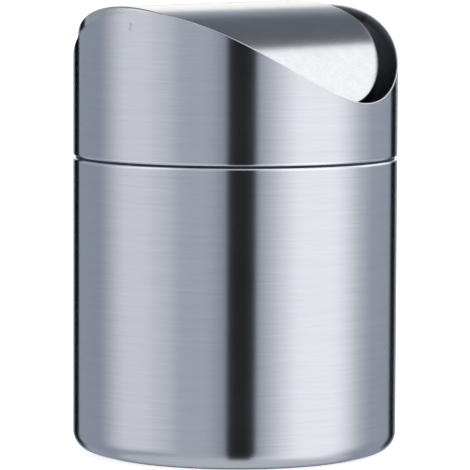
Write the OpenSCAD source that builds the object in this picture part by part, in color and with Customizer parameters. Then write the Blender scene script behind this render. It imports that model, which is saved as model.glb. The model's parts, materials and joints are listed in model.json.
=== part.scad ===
// Small countertop waste bin in brushed sheet steel: a round body, a lift-off head with arched sides,
// and a curved push flap that swings between the arches.
// The table is at z = 0 and the bin's axis is the z axis. The flap's hinge runs along x.
// The front, where a hand pushes the flap, faces -y.

/* [Body] */
// Outer diameter of the body and the head
bin_d = 120; // [112:1:130]
// Height of the body's rolled rim above the table
rim_z = 109; // [100:1:120]
// Thickness of the steel sheet of the body and the head
wall = 0.6; // [0.4:0.1:0.8]
// Outer radius of the round bottom corner
corner_r = 7; // [5:0.5:9]
// Outer radius of the rolled edges that face each other at the seam
bead_r = 0.9; // [0.8:0.05:1.2]
// Height of the turned-in leg behind a rolled edge
bead_leg = 3; // [2:0.5:5]
// Width of the flange that the body turns in under the base
flange_w = 8; // [6:0.5:12]

/* [Base] */
// Height that the anti-slip ring lifts the body off the table
pad_h = 0.5; // [0.5:0.1:1.5]
// Width of the anti-slip ring
pad_w = 6; // [4:0.5:7]
// Thickness of the base plate
plate_t = 0.6; // [0.4:0.1:1]
// Height of the stiffening step in the base plate
plate_rise = 3; // [1:0.5:5]
// Width of the flat border of the base plate, outside the step
plate_border = 11; // [9:0.5:14]
// Width of the sloped wall of the step
plate_slope = 3; // [2:0.5:5]

/* [Collar] */
// Thickness of the collar's lower sleeve
collar_t = 0.8; // [0.6:0.1:1.4]
// Height of the collar inside the head
collar_up = 9; // [6:0.5:14]
// Depth of the collar inside the body's mouth
collar_down = 12; // [8:0.5:18]
// Thickness of the collar's flange between the two rolled edges
collar_flange_t = 0.6; // [0.4:0.1:1]
// Depth of the flange's edge behind the outer face of the bin
seam_recess = 1; // [0.9:0.1:1.6]
// Gap between the collar's flange and the body's rim
seat_gap = 0.1; // [0.1:0.05:0.3]
// Radial gap between the collar and the head's rolled edge
collar_fit = 0.1; // [0.05:0.05:0.2]
// Radial gap between the collar's lower sleeve and the body's rolled edge
collar_slide = 0.4; // [0.3:0.05:0.6]
// Number of guide ribs on the lower sleeve
rib_count = 8; // [4:1:12]
// Radial gap between a guide rib and the body's rolled edge
rib_slide = 0.15; // [0.1:0.05:0.25]
// Radius of a guide rib
rib_r = 0.5; // [0.4:0.05:0.7]

/* [Head] */
// Height of the head from its rolled edge to the crown of its arches
head_h = 54.5; // [50:0.5:60]
// Radius of the arches, seen from the side
arch_r = 70.5; // [66:0.5:76]

/* [Flap] */
// Gap between the flap's rim and the inside of the head
flap_gap = 3.4; // [2.8:0.1:4.5]
// Thickness of the flap's sheet
flap_t = 0.6; // [0.5:0.1:0.8]
// Height of the flap's crown above the crown of the arches
flap_proud = 0.9; // [0.6:0.1:1.5]
// Depth of the flap's turned-down rim
skirt_h = 4; // [3:0.1:4.2]
// Angle at which the flap hangs, front edge in
flap_tilt = 8; // [0:0.5:10]
// Distance of the flap's middle in front of its pivots
flap_lead = 0.13; // [0:0.01:0.6]

/* [Hinge] */
// Depth of the pivots below the crown of the arches
pivot_drop = 5.8; // [5.6:0.1:6.4]
// Distance of the pivots behind the bin's axis
pivot_back = 2; // [0:0.1:3]
// Radius of a pivot pin
pin_r = 1.2; // [1:0.05:1.3]
// Running gap around a pivot pin
pin_run = 0.1; // [0.05:0.01:0.15]
// Length of a pin past the clip
pin_end = 1; // [0.5:0.1:2]
// Width of an ear of the flap
ear_w = 10; // [8:0.5:11]
// Thickness of an ear
ear_t = 0.8; // [0.6:0.1:1]
// Length of the tab that fixes an ear under the flap
ear_tab = 9; // [6:0.5:14]
// Gap between an ear and the flap's turned-down rim
ear_gap = 1.4; // [1.1:0.1:2]
// Wall of a bush in its ear
bush_t = 0.7; // [0.5:0.05:0.8]
// Extra radius of a bush's flange
bush_lip = 1; // [0.6:0.1:1.2]
// Thickness of a bush's flange
bush_lip_t = 0.6; // [0.4:0.1:0.8]
// Wall of the spacer tube on a pin
spacer_t = 0.8; // [0.6:0.05:0.9]
// End gap beside a piece that turns on a pin
end_gap = 0.2; // [0.1:0.05:0.3]
// Radius of the push-on clip
clip_r = 3.2; // [2.6:0.1:4]
// Thickness of the push-on clip
clip_t = 0.5; // [0.3:0.1:0.8]
// Number of teeth in the push-on clip
clip_teeth = 6; // [4:1:8]
// Width of the hinge plate on the inside of the head
hinge_w = 14; // [11:0.5:18]
// Thickness of the hinge plate
hinge_t = 0.7; // [0.5:0.1:1]
// Height of the hinge plate above the pivot
hinge_up = 3.6; // [3:0.1:4]
// Depth of the hinge plate's stop tongue below the pivot
stop_drop = 8.3; // [7.5:0.1:10]
// Thickness of the stop tongue
stop_t = 0.7; // [0.5:0.1:1]
// Width of the stop tongue
stop_w = 7.2; // [6:0.1:9]
// Gap between pieces that are fixed to each other
seat_fit = 0.05; // [0.02:0.01:0.1]

/* [Hidden] */
$fn = 128;

bin_r = bin_d / 2;
inner_r = bin_r - wall;
bead_inner_r = bin_r - 2 * bead_r;
plate_z = pad_h + wall;
plate_r = bin_r - corner_r - 0.2;
step_r = bin_r - corner_r - plate_border;

collar_z = rim_z + seat_gap;
head_z = collar_z + collar_flange_t;
head_top_z = head_z + head_h;
collar_up_r = bead_inner_r - collar_fit;
collar_down_r = bead_inner_r - collar_slide;
collar_bore_r = collar_down_r - collar_t;

arch_z = head_top_z - arch_r;
pivot_y = pivot_back;
pivot_z = head_top_z - pivot_drop;

flap_r = inner_r - flap_gap;
flap_y = pivot_y - flap_lead;
flap_arc_r = arch_r + flap_proud;
flap_under_r = flap_arc_r - flap_t;

plate_out_r = inner_r - seat_fit;
plate_in_r = plate_out_r - hinge_t;
ear_x = flap_r - flap_t - ear_gap - ear_t;
bush_r = pin_r + pin_run + bush_t;
bush_in_x = ear_x - end_gap;
bush_out_x = ear_x + ear_t + bush_lip_t;
spacer_r = pin_r + pin_run + spacer_t;
spacer_x = bush_out_x + end_gap;
spacer_out_x = sqrt(pow(plate_in_r, 2) - pow(pivot_y + spacer_r, 2)) - seat_fit;
clip_x = bush_in_x - end_gap - clip_t;
pin_x = clip_x - pin_end;
stop_x = ear_x + ear_t + end_gap;
big = 4 * bin_d;

steel = [0.72, 0.73, 0.76];
satin = [0.80, 0.81, 0.83];
zinc = [0.60, 0.62, 0.64];
dark_plastic = [0.08, 0.08, 0.09];
pale_plastic = [0.90, 0.90, 0.87];

// A solid cylinder along x, centred on the bin's axis, whose own axis is at y, z
module across(r, y, z) {
    translate([0, y, z]) rotate([0, 90, 0]) cylinder(r = r, h = big, center = true);
}

// A cylinder or tube along x on the pivot line, from x0 to x1
module on_pivot(r, x0, x1, bore = 0) {
    translate([x0, pivot_y, pivot_z]) rotate([0, 90, 0])
        difference() {
            cylinder(r = r, h = x1 - x0);
            if (bore > 0) translate([0, 0, -1]) cylinder(r = bore, h = x1 - x0 + 2);
        }
}

// A box from one corner to the other
module block(low, high) {
    translate(low) cube(high - low);
}

// The child on the right side, or mirrored to the left side
module on_side(side) {
    mirror([side < 0 ? 1 : 0, 0, 0]) children();
}

// The flap's pieces, turned about the pivots from level to the angle at which the flap hangs
module hung() {
    translate([0, pivot_y, pivot_z]) rotate([flap_tilt, 0, 0]) translate([0, -pivot_y, -pivot_z]) children();
}

// Half of a rolled edge in section: a half ring that opens up or down
module bead_section(up) {
    intersection() {
        difference() {
            circle(r = bead_r);
            circle(r = bead_r - wall);
        }
        translate([-2 * bead_r, up ? 0 : -2 * bead_r]) square([4 * bead_r, 2 * bead_r]);
    }
}

// The outline of the body, as a filled section, drawn in by a thickness
module body_outline(inset) {
    low = pad_h + inset;
    round_r = corner_r - inset;
    translate([0, low]) square([bin_r - corner_r, rim_z - low]);
    translate([0, pad_h + corner_r]) square([bin_r - inset, rim_z - pad_h - corner_r]);
    intersection() {
        translate([bin_r - corner_r, pad_h + corner_r]) circle(r = round_r);
        translate([bin_r - corner_r, 0]) square([bin_r, rim_z]);
    }
}

module body_section() {
    difference() {
        body_outline(0);
        body_outline(wall);
        translate([0, rim_z - bead_r]) square([bin_r + 1, bin_r]);
        square([bin_r - corner_r - flange_w, rim_z]);
    }
    translate([bin_r - bead_r, rim_z - bead_r]) bead_section(true);
    translate([bead_inner_r, rim_z - bead_r - bead_leg]) square([wall, bead_leg]);
}

module body_shell() {
    color(steel) rotate_extrude() body_section();
}

// Pressed disc on the body's flange, with a raised middle
module base_plate() {
    color(satin) rotate_extrude() polygon([
        [0, plate_z + plate_rise],
        [step_r - plate_slope, plate_z + plate_rise],
        [step_r, plate_z],
        [plate_r, plate_z],
        [plate_r, plate_z + plate_t],
        [step_r, plate_z + plate_t],
        [step_r - plate_slope, plate_z + plate_rise + plate_t],
        [0, plate_z + plate_rise + plate_t]
    ]);
}

// Anti-slip ring under the flange
module base_pad() {
    pad_mid_r = bin_r - corner_r - flange_w / 2;
    color(dark_plastic) difference() {
        cylinder(r = pad_mid_r + pad_w / 2, h = pad_h);
        translate([0, 0, -1]) cylinder(r = pad_mid_r - pad_w / 2, h = pad_h + 2);
    }
}

module head_section() {
    translate([bin_r - bead_r, head_z + bead_r]) bead_section(false);
    translate([inner_r, head_z + bead_r]) square([wall, head_h]);
    translate([bead_inner_r, head_z + bead_r]) square([wall, bead_leg]);
}

// Tube whose top follows one cylinder across the bin, so that its sides rise as arches
module head_shell() {
    color(steel) intersection() {
        rotate_extrude() head_section();
        across(arch_r, 0, arch_z);
    }
}

module collar_section() {
    translate([collar_bore_r, collar_z - collar_down]) square([collar_t, collar_down + collar_flange_t]);
    translate([collar_bore_r, collar_z])
        square([collar_up_r - collar_bore_r, collar_flange_t + collar_up]);
    translate([collar_bore_r, collar_z])
        square([bin_r - seam_recess - collar_bore_r, collar_flange_t]);
}

// Plastic ring that is fixed in the head and plugs into the body's mouth
module head_collar() {
    rib_mid_r = bead_inner_r - rib_slide - rib_r;
    color(dark_plastic) union() {
        rotate_extrude() collar_section();
        for (i = [0 : rib_count - 1])
            rotate([0, 0, (i + 0.5) * 360 / rib_count])
                translate([rib_mid_r, 0, collar_z - collar_down])
                    cylinder(r = rib_r, h = collar_down + collar_flange_t, $fn = 24);
    }
}

// Plate that is welded to the inside of the head, holds the pin and stops the flap
module hinge_plate(side) {
    color(zinc) on_side(side) difference() {
        union() {
            intersection() {
                difference() {
                    cylinder(r = plate_out_r, h = big);
                    cylinder(r = plate_in_r, h = big);
                }
                block([0, pivot_y - hinge_w / 2, pivot_z - stop_drop - stop_t],
                      [bin_d, pivot_y + hinge_w / 2, pivot_z + hinge_up]);
            }
            intersection() {
                cylinder(r = plate_in_r + hinge_t / 2, h = big);
                block([stop_x, pivot_y - stop_w / 2, pivot_z - stop_drop - stop_t],
                      [bin_d, pivot_y + stop_w / 2, pivot_z - stop_drop]);
            }
        }
        on_pivot(pin_r + seat_fit / 2, plate_in_r - 2 * hinge_t, bin_d);
    }
}

module pivot_pin(side) {
    color(zinc) on_side(side) on_pivot(pin_r, pin_x, plate_out_r - 2 * seat_fit);
}

// Tube that keeps the flap in the middle between the two hinge plates
module pivot_spacer(side) {
    color(pale_plastic) on_side(side)
        on_pivot(spacer_r, spacer_x, spacer_out_x, pin_r + pin_run);
}

// Push-on clip whose teeth grip the end of the pin
module pin_clip(side) {
    color(zinc) on_side(side) difference() {
        on_pivot(clip_r, clip_x, clip_x + clip_t, pin_r + seat_fit / 2);
        for (i = [0 : clip_teeth - 1])
            translate([0, pivot_y, pivot_z]) rotate([i * 360 / clip_teeth, 0, 0])
                translate([clip_x - 1, -seat_fit * 3, 0]) cube([clip_t + 2, seat_fit * 6, clip_r * 0.7]);
    }
}

// The flap as a filled form, level: its top is a cylinder across the bin and its rim is round
module flap_form(arc_r, rim_r) {
    intersection() {
        across(arc_r, flap_y, arch_z);
        translate([0, flap_y, arch_z]) cylinder(r = rim_r, h = big);
    }
}

// Curved sheet with a turned-down rim
module flap_panel() {
    color(satin) hung() difference() {
        flap_form(flap_arc_r, flap_r);
        flap_form(flap_under_r, flap_r - flap_t);
        across(flap_arc_r, flap_y, arch_z - skirt_h);
    }
}

// Bent strip under the flap: a tab that is welded to the sheet and a round-ended ear with the bush's hole
module flap_ear(side) {
    top_r = flap_under_r - seat_fit;
    color(zinc) hung() on_side(side) difference() {
        union() {
            intersection() {
                across(top_r, flap_y, arch_z);
                block([ear_x, pivot_y - ear_w / 2, pivot_z],
                      [ear_x + ear_t, pivot_y + ear_w / 2, head_top_z + flap_proud]);
            }
            on_pivot(ear_w / 2, ear_x, ear_x + ear_t);
            intersection() {
                difference() {
                    across(top_r, flap_y, arch_z);
                    across(top_r - ear_t, flap_y, arch_z);
                }
                block([ear_x - ear_tab, pivot_y - ear_w / 2, pivot_z],
                      [ear_x + ear_t, pivot_y + ear_w / 2, head_top_z + flap_proud]);
            }
        }
        on_pivot(bush_r + seat_fit / 2, ear_x - 1, ear_x + ear_t + 1);
    }
}

// Flanged bush in the ear, which turns on the pin
module pivot_bush(side) {
    color(pale_plastic) hung() on_side(side) difference() {
        union() {
            on_pivot(bush_r, bush_in_x, bush_out_x);
            on_pivot(bush_r + bush_lip, ear_x + ear_t, bush_out_x);
        }
        on_pivot(pin_r + pin_run, bush_in_x - 1, bush_out_x + 1);
    }
}

body_shell();
base_plate();
base_pad();
head_shell();
head_collar();
hinge_plate(-1);  // hinge_plate_left
hinge_plate(1);  // hinge_plate_right
pivot_pin(-1);  // pivot_pin_left
pivot_pin(1);  // pivot_pin_right
pivot_spacer(-1);  // pivot_spacer_left
pivot_spacer(1);  // pivot_spacer_right
pin_clip(-1);  // pin_clip_left
pin_clip(1);  // pin_clip_right
flap_panel();
flap_ear(-1);  // flap_ear_left
flap_ear(1);  // flap_ear_right
pivot_bush(-1);  // pivot_bush_left
pivot_bush(1);  // pivot_bush_right
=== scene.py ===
"""Looks of a small brushed steel countertop bin: a round body, a lift-off head and a swinging push flap.

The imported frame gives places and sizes. This file dresses every piece, makes the sheet metal forms that
need rolled edges and round bends, and sets the studio and the camera. Lengths are in metres and the frame
is the model's own: z up from the table, x along the flap's hinge, the front towards -y.
"""
from __future__ import annotations

import json
import logging
import math
from dataclasses import dataclass, field
from enum import Enum

import bmesh
import bpy
import numpy as np
from mathutils import Matrix, Vector

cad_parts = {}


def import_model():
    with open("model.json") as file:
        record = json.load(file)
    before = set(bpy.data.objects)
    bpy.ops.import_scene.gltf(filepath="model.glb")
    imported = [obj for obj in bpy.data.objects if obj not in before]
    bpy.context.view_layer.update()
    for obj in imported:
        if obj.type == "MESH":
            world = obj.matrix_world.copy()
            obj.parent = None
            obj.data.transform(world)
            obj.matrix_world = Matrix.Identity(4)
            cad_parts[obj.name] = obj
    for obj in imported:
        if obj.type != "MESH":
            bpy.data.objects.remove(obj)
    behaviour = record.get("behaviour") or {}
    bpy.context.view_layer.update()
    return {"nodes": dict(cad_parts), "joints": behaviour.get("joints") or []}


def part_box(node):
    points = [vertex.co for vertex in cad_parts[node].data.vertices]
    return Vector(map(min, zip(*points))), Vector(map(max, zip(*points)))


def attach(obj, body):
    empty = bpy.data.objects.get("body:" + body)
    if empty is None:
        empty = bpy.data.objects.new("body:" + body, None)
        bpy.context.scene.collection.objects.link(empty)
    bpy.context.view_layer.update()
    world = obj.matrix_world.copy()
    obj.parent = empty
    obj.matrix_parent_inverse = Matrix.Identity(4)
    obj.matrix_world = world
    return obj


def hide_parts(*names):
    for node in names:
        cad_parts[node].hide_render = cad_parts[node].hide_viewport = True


LOG = logging.getLogger("bin_looks")
MM = 0.001
NOISE_RANGE = (0.3, 0.7)  # the values between which a noise texture mostly stays
NOISE_MIDDLE = 0.5
Colour = tuple[float, float, float]
Outline = list[tuple[float, float]]


class Side(Enum):
    """The two ends of the hinge line."""

    LEFT = -1
    RIGHT = 1


class Body(Enum):
    """The rigid bodies that pieces ride on."""

    BIN = "bin_body"
    HEAD = "head"
    FLAP = "flap"


class Facing(Enum):
    """The ways that a weld mark can face: a factor for its own place, and what is added to that."""

    UP = ((0.0, 0.0, 0.0), (0.0, 0.0, 1.0))
    OUTWARD = ((1.0, 1.0, 0.0), (0.0, 0.0, 0.0))


class WallZone(Enum):
    """The zones of the head's wall, by the place of their material in its mesh."""

    BRUSHED = 0
    LINING = 1
    CUT_EDGE = 2


class ShaderTree:
    """Makes the nodes of one material or of the world, each joined as it is made."""

    # the Mix node's colour sockets by place, because several of its sockets have the same name
    MIX_COLOURS = (6, 7)
    MIX_RESULT = 2

    def __init__(self, tree: bpy.types.NodeTree) -> None:
        """Empties the tree and keeps it."""
        tree.nodes.clear()
        self.tree = tree

    def node(self, kind: str, **settings: object) -> bpy.types.Node:
        """Adds a node.

        Args:
            kind: The node type's identifier.
            settings: Attributes to set on the node.

        Returns:
            The new node.
        """
        made = self.tree.nodes.new(kind)
        for name, value in settings.items():
            setattr(made, name, value)
        return made

    def feed(self, socket: bpy.types.NodeSocket, value: object) -> None:
        """Joins a socket to another socket, or sets it to a plain value.

        Args:
            socket: The input to fill.
            value: An output socket, a number or a tuple.
        """
        if isinstance(value, bpy.types.NodeSocket):
            self.tree.links.new(value, socket)
        else:
            socket.default_value = value

    def math(self, operation: str, first: object, second: object = 0.0, third: object = 0.0,
             clamp: bool = False) -> bpy.types.NodeSocket:
        """Adds a Math node.

        Args:
            operation: The operation's name.
            first: The first operand, a socket or a number.
            second: The second operand.
            third: The third operand, for operations that have one.
            clamp: Whether the result is held between 0 and 1.

        Returns:
            The result's socket.
        """
        made = self.node("ShaderNodeMath", operation=operation, use_clamp=clamp)
        for socket, value in zip(made.inputs, (first, second, third)):
            self.feed(socket, value)
        return made.outputs[0]

    def vector_math(self, operation: str, first: object, second: object = (0.0, 0.0, 0.0),
                    scale: object = 1.0) -> bpy.types.Node:
        """Adds a Vector Math node.

        Args:
            operation: The operation's name.
            first: The first vector, a socket or a tuple.
            second: The second vector.
            scale: The factor of the SCALE operation.

        Returns:
            The node, whose outputs are Vector and Value.
        """
        made = self.node("ShaderNodeVectorMath", operation=operation)
        self.feed(made.inputs[0], first)
        if operation == "SCALE":
            self.feed(made.inputs["Scale"], scale)
        elif operation != "NORMALIZE":
            self.feed(made.inputs[1], second)
        return made

    def object_point(self, scale: tuple[float, float, float] = (1.0, 1.0, 1.0),
                     turn: tuple[float, float, float] = (0.0, 0.0, 0.0)) -> bpy.types.NodeSocket:
        """Gives the shaded point in the piece's own coordinates, turned and then scaled.

        Args:
            scale: Factors along the turned axes.
            turn: Euler angles in radians.

        Returns:
            The vector's socket.
        """
        point = self.node("ShaderNodeTexCoord").outputs["Object"]
        turned = self.node("ShaderNodeMapping")
        self.feed(turned.inputs["Vector"], point)
        self.feed(turned.inputs["Rotation"], turn)
        scaled = self.node("ShaderNodeMapping")
        self.feed(scaled.inputs["Vector"], turned.outputs[0])
        self.feed(scaled.inputs["Scale"], scale)
        return scaled.outputs[0]

    def object_axes(self) -> bpy.types.NodeOutputs:
        """Gives the shaded point's X, Y and Z in the piece's own coordinates.

        Returns:
            The three sockets, by name.
        """
        split = self.node("ShaderNodeSeparateXYZ")
        self.feed(split.inputs[0], self.node("ShaderNodeTexCoord").outputs["Object"])
        return split.outputs

    def noise(self, vector: bpy.types.NodeSocket, scale: float = 1.0, detail: float = 2.0,
              roughness: float = 0.5) -> bpy.types.NodeSocket:
        """Adds a noise texture.

        Args:
            vector: Where it is read.
            scale: Its frequency.
            detail: Its number of octaves.
            roughness: The weight of the finer octaves.

        Returns:
            The value's socket, from 0 to 1.
        """
        made = self.node("ShaderNodeTexNoise", noise_dimensions="3D")
        self.feed(made.inputs["Vector"], vector)
        self.feed(made.inputs["Scale"], scale)
        self.feed(made.inputs["Detail"], detail)
        self.feed(made.inputs["Roughness"], roughness)
        return made.outputs["Fac"]

    def spread(self, value: bpy.types.NodeSocket, low: float, high: float, to_low: object,
               to_high: object, smooth: bool = False) -> bpy.types.NodeSocket:
        """Maps one range of a value onto another and holds it there.

        Args:
            value: What is mapped.
            low: The value that gives to_low.
            high: The value that gives to_high.
            to_low: The result at low.
            to_high: The result at high.
            smooth: Whether it eases in and out.

        Returns:
            The result's socket.
        """
        made = self.node("ShaderNodeMapRange", clamp=True,
                         interpolation_type="SMOOTHSTEP" if smooth else "LINEAR")
        for name, item in (("Value", value), ("From Min", low), ("From Max", high),
                           ("To Min", to_low), ("To Max", to_high)):
            self.feed(made.inputs[name], item)
        return made.outputs[0]

    def varied(self, noise: bpy.types.NodeSocket, middle: float, shift: float) -> bpy.types.NodeSocket:
        """Lets a noise vary a number, from middle - shift up to middle + shift."""
        return self.spread(noise, *NOISE_RANGE, middle - shift, middle + shift)

    def weighed(self, first: bpy.types.NodeSocket, second: bpy.types.NodeSocket,
                share: float) -> bpy.types.NodeSocket:
        """Adds up two values, the first with its share and the second with the rest."""
        return self.math("MULTIPLY_ADD", first, share, self.math("MULTIPLY", second, 1 - share))

    def blend(self, factor: object, first: object, second: object) -> bpy.types.NodeSocket:
        """Mixes two colours.

        Args:
            factor: 0 for the first colour and 1 for the second.
            first: A socket or a colour.
            second: A socket or a colour.

        Returns:
            The mixed colour's socket.
        """
        made = self.node("ShaderNodeMix", data_type="RGBA")
        self.feed(made.inputs[0], factor)
        for place, colour in zip(self.MIX_COLOURS, (first, second)):
            self.feed(made.inputs[place],
                      colour if isinstance(colour, bpy.types.NodeSocket) else (*colour, 1.0))
        return made.outputs[self.MIX_RESULT]

    def relief(self, height: bpy.types.NodeSocket, strength: float, depth: float) -> bpy.types.NodeSocket:
        """Adds a Bump node.

        Args:
            height: The relief's height, from 0 to 1.
            strength: The share of it that shows.
            depth: Its real depth.

        Returns:
            The bent normal's socket.
        """
        made = self.node("ShaderNodeBump")
        self.feed(made.inputs["Strength"], strength)
        self.feed(made.inputs["Distance"], depth)
        self.feed(made.inputs["Height"], height)
        return made.outputs[0]

    def surface(self, **inputs: object) -> bpy.types.Node:
        """Adds the Principled shader and joins it to the output.

        Args:
            inputs: Socket names, with underscores for spaces, and their values.

        Returns:
            The shader node.
        """
        shader = self.node("ShaderNodeBsdfPrincipled")
        for name, value in inputs.items():
            plain = isinstance(value, tuple) and len(value) == 3
            self.feed(shader.inputs[name.replace("_", " ")], (*value, 1.0) if plain else value)
        out = self.node("ShaderNodeOutputMaterial")
        self.tree.links.new(shader.outputs[0], out.inputs["Surface"])
        return shader


def new_material(name: str) -> tuple[bpy.types.Material, ShaderTree]:
    """Makes an empty node material.

    Args:
        name: The material's name.

    Returns:
        The material and the maker of its nodes.
    """
    material = bpy.data.materials.new(name)
    material.use_nodes = True
    return material, ShaderTree(material.node_tree)


def tones(colour: Colour, share: float) -> tuple[Colour, Colour]:
    """Gives a tone of a colour that is darker by a share, and one that is lighter by it."""
    return tuple(c * (1 - share) for c in colour), tuple(min(1.0, c * (1 + share)) for c in colour)


@dataclass(frozen=True)
class TurnedBrushing:
    """Steel that was brushed while it turned, so that its fine lines run round the axis.

    Attributes:
        name: The material's name.
        colour: The bare metal's colour.
        rolled_at: The height of the rolled edge, along which the colour is lightened as a painted highlight.
        roughness: The spread of reflections, between its two directions.
        anisotropy: How much wider reflections spread across the lines than along them.
        line_length: The usual length of a line.
        line_height: The usual height of a line.
        band_length: The usual length of the wider bands that the lines gather in.
        band_height: Their usual height.
        band_share: The share that the bands have in the tone, beside the lines.
        contrast: The mixed pattern's values at which the tone is darkest and lightest.
        tone: The share by which lines differ in tone.
        film: The frequency of the faint film that makes the steel duller in places, per metre.
        film_shift: How far the film shifts the roughness.
        rolled_fade: The distances from the rolled edge at which the painted highlight begins to fade and
            ends.
        edge_highlight_share: How far the painted highlight along the rolled edge lightens the colour, as a
            share of the way to white.
        waver: How far a line's reflection strays sideways, either way.
    """

    name: str
    colour: Colour
    rolled_at: float
    roughness: float = 0.215
    anisotropy: float = 0.95
    line_length: float = 13 * MM
    line_height: float = 0.13 * MM
    band_length: float = 39 * MM
    band_height: float = 1.04 * MM
    band_share: float = 0.3
    contrast: tuple[float, float] = (0.34, 0.66)
    tone: float = 0.045
    film: float = 30.0
    film_shift: float = 0.01
    rolled_fade: tuple[float, float] = (0.81 * MM, 1.17 * MM)
    edge_highlight_share: float = 0.65
    waver: float = 0.005

    def material(self) -> bpy.types.Material:
        """Builds the material.

        Returns:
            The finished material.
        """
        material, tree = new_material(self.name)
        lines = self.streaks(tree, self.line_length, self.line_height, roughness=0.6)
        bands = self.streaks(tree, self.band_length, self.band_height, roughness=0.5)
        film = tree.noise(tree.object_point(), scale=self.film, detail=3.0)
        tone = tree.spread(tree.weighed(bands, lines, self.band_share), *self.contrast, 0.0, 1.0)
        colour = tree.blend(tone, *tones(self.colour, self.tone))
        # painted highlight: the colour is lightened towards white along the rolled edge
        colour = tree.blend(self.painted_edge_highlight(tree), colour, (1.0, 1.0, 1.0))
        rough = tree.varied(film, self.roughness, self.film_shift)
        round_axis = self.round_axis(tree)
        tree.surface(Base_Color=colour, Metallic=1.0, Roughness=rough, Anisotropic=self.anisotropy,
                     Normal=self.strayed_normal(tree, lines, round_axis),
                     Tangent=self.across_lines(tree, round_axis))
        return material

    def streaks(self, tree: ShaderTree, length: float, height: float,
                roughness: float) -> bpy.types.NodeSocket:
        """Gives a pattern of level streaks."""
        return tree.noise(tree.object_point((1 / length, 1 / length, 1 / height)), roughness=roughness)

    def painted_edge_highlight(self, tree: ShaderTree) -> bpy.types.NodeSocket:
        """Gives the painted highlight: how far the colour is lightened towards white, only along the rolled
        edge.
        """
        off = tree.math("ABSOLUTE", tree.math("SUBTRACT", tree.object_axes()["Z"], self.rolled_at))
        return tree.spread(off, *self.rolled_fade, self.edge_highlight_share, 0.0, smooth=True)

    def round_axis(self, tree: ShaderTree) -> bpy.types.NodeSocket:
        """Gives the direction of the lines, which is round the z axis.

        Args:
            tree: The material's nodes.

        Returns:
            The unit vector's socket.
        """
        point = tree.node("ShaderNodeTexCoord").outputs["Object"]
        aside = tree.vector_math("CROSS_PRODUCT", (0.0, 0.0, 1.0), point).outputs[0]
        return tree.vector_math("NORMALIZE", aside).outputs[0]

    def strayed_normal(self, tree: ShaderTree, lines: bpy.types.NodeSocket,
                       round_axis: bpy.types.NodeSocket) -> bpy.types.NodeSocket:
        """Turns the normal a little sideways, by another amount on each line.

        Args:
            tree: The material's nodes.
            lines: The brushing's pattern.
            round_axis: The direction of the lines.

        Returns:
            The normal's socket.
        """
        stray = tree.math("MULTIPLY", tree.math("SUBTRACT", lines, NOISE_MIDDLE), self.waver * 2)
        aside = tree.vector_math("SCALE", round_axis, scale=stray).outputs[0]
        bare = tree.node("ShaderNodeNewGeometry").outputs["Normal"]
        return tree.vector_math("NORMALIZE", tree.vector_math("ADD", bare, aside).outputs[0]).outputs[0]

    def across_lines(self, tree: ShaderTree, round_axis: bpy.types.NodeSocket) -> bpy.types.NodeSocket:
        """Gives the direction on the surface that crosses the lines, in which reflections spread."""
        bare = tree.node("ShaderNodeNewGeometry").outputs["Normal"]
        return tree.vector_math("CROSS_PRODUCT", bare, round_axis).outputs[0]


@dataclass(frozen=True)
class SatinSheet:
    """Flat-ground steel sheet with a fine speckled grain that runs aslant.

    Attributes:
        name: The material's name.
        colour: The bare metal's colour.
        roughness: The spread of its reflections.
        grain: The width of a speckle.
        stretch: How many times longer than wide a speckle is.
        slant: The grain's angle to the hinge line, in degrees.
        cloud: The frequency of the soft clouds over the grain, per metre.
        cloud_share: The share that the clouds have in the tone, beside the speckles.
        contrast: The mixed pattern's values at which the tone is darkest and lightest.
        tone: The share by which speckles differ in tone.
        gloss_shift: How far the roughness differs from speckle to speckle, either way.
    """

    name: str
    colour: Colour
    roughness: float = 0.15
    grain: float = 0.28 * MM
    stretch: float = 3.0
    slant: float = 40.0
    cloud: float = 120.0
    cloud_share: float = 0.25
    contrast: tuple[float, float] = (0.36, 0.64)
    tone: float = 0.10
    gloss_shift: float = 0.03

    def material(self) -> bpy.types.Material:
        """Builds the material.

        Returns:
            The finished material.
        """
        material, tree = new_material(self.name)
        fine = 1 / self.grain
        turn = (0.0, 0.0, math.radians(self.slant))
        slanted = tree.object_point((fine / self.stretch, fine, fine / self.stretch), turn)
        speckle = tree.noise(slanted, roughness=0.7)
        clouds = tree.noise(tree.object_point(), scale=self.cloud, detail=3.0)
        tone = tree.spread(tree.weighed(clouds, speckle, self.cloud_share), *self.contrast, 0.0, 1.0)
        tree.surface(Base_Color=tree.blend(tone, *tones(self.colour, self.tone)), Metallic=1.0,
                     Roughness=tree.varied(speckle, self.roughness, self.gloss_shift))
        return material


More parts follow.
